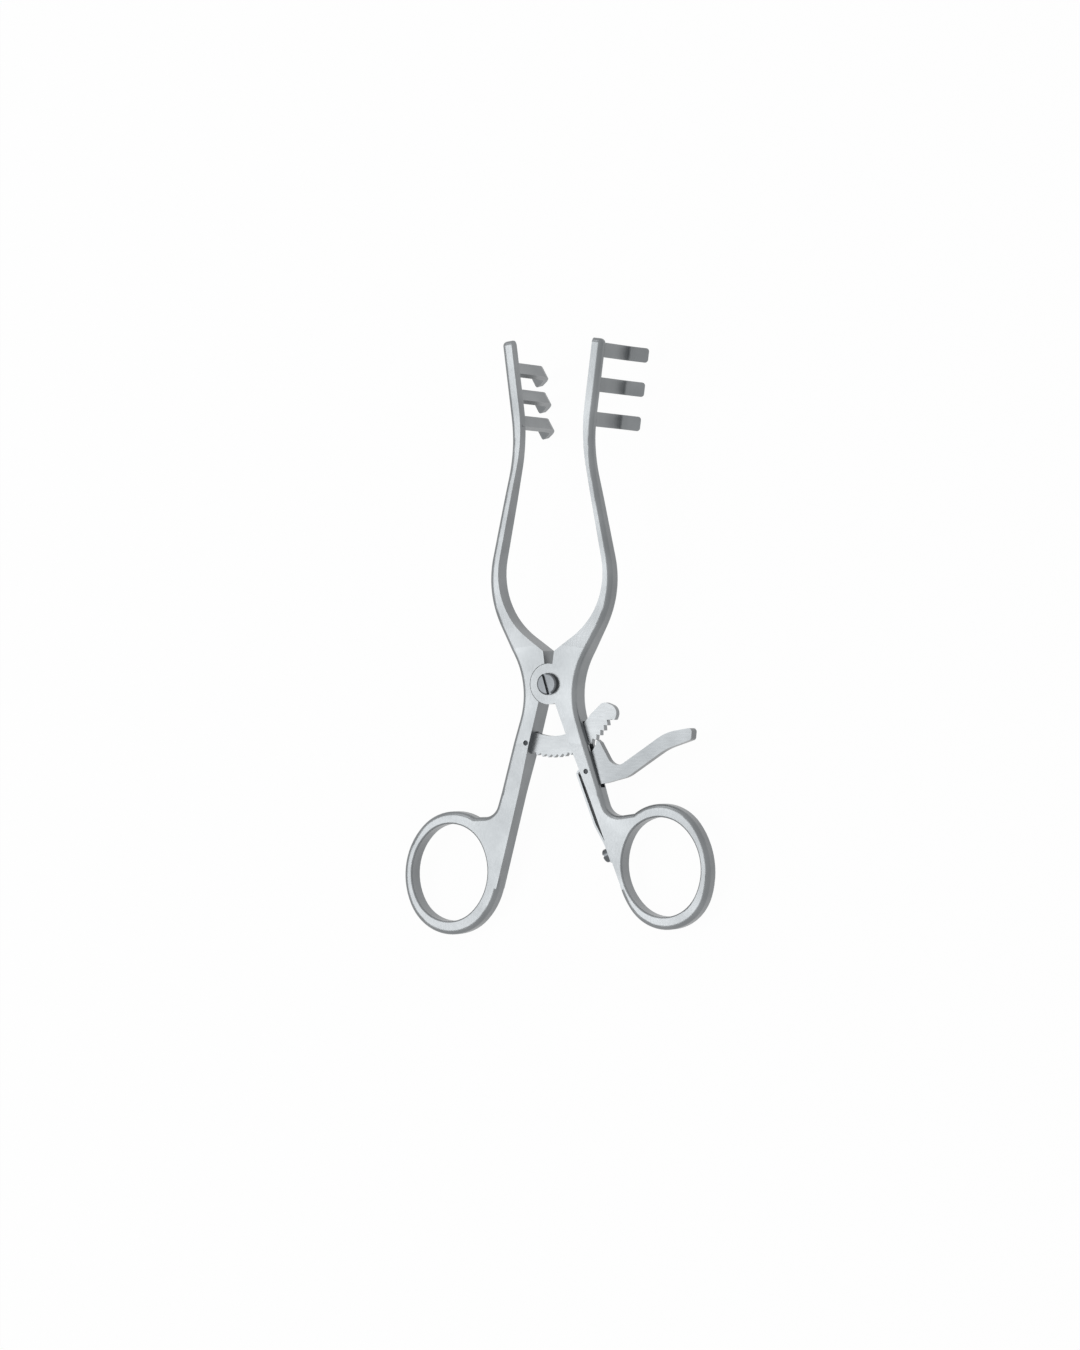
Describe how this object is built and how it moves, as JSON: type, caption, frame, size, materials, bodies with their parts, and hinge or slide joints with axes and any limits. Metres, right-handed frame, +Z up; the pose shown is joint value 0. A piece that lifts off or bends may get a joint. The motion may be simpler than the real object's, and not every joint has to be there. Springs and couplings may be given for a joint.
{
  "type": "self retaining retractor",
  "caption": "Hand held surgical retractor: ring handled arms on a screw joint spread short blunt prongs and are held open by a toothed rack with a sprung release lever.",
  "frame": {"origin": "centre of the bounding box in plan, on the table that the instrument lies on", "axes": "+Y from the finger rings to the prongs, +Z up from the table, +X to the right seen from the front"},
  "size_m": [0.0746, 0.1312, 0.0226],
  "materials": {
    "steel_body": "satin forged stainless steel",
    "steel_mechanism": "fine ground stainless steel",
    "steel_screw": "turned stainless steel"
  },
  "bodies": {
    "right_half": {"right_arm": "steel_body", "lever_pin": "steel_screw", "lever_spring": "steel_mechanism", "spring_screw": "steel_screw"},
    "left_half": {"left_arm": "steel_body", "ratchet_rack": "steel_mechanism", "rack_pin": "steel_screw", "pivot_screw": "steel_screw"},
    "lever": {"release_lever": "steel_mechanism"}
  },
  "joints": [
    {"name": "arms_pivot", "type": "hinge", "parent": "right_half", "child": "left_half", "pos_m": [-0.00096, -0.0106, 0.01016], "axis": [0, -0.1501, 0.9887], "range_deg": [-15, 30]},
    {"name": "release_lever_pivot", "type": "hinge", "parent": "right_half", "child": "lever", "pos_m": [0.00793, -0.02941, 0.0073], "axis": [0, -0.1501, 0.9887], "range_deg": [-12, 8.2], "stiffness_Nm_per_rad": 0.02, "springref_deg": 8.2, "deforming": ["lever_spring"]}
  ]
}
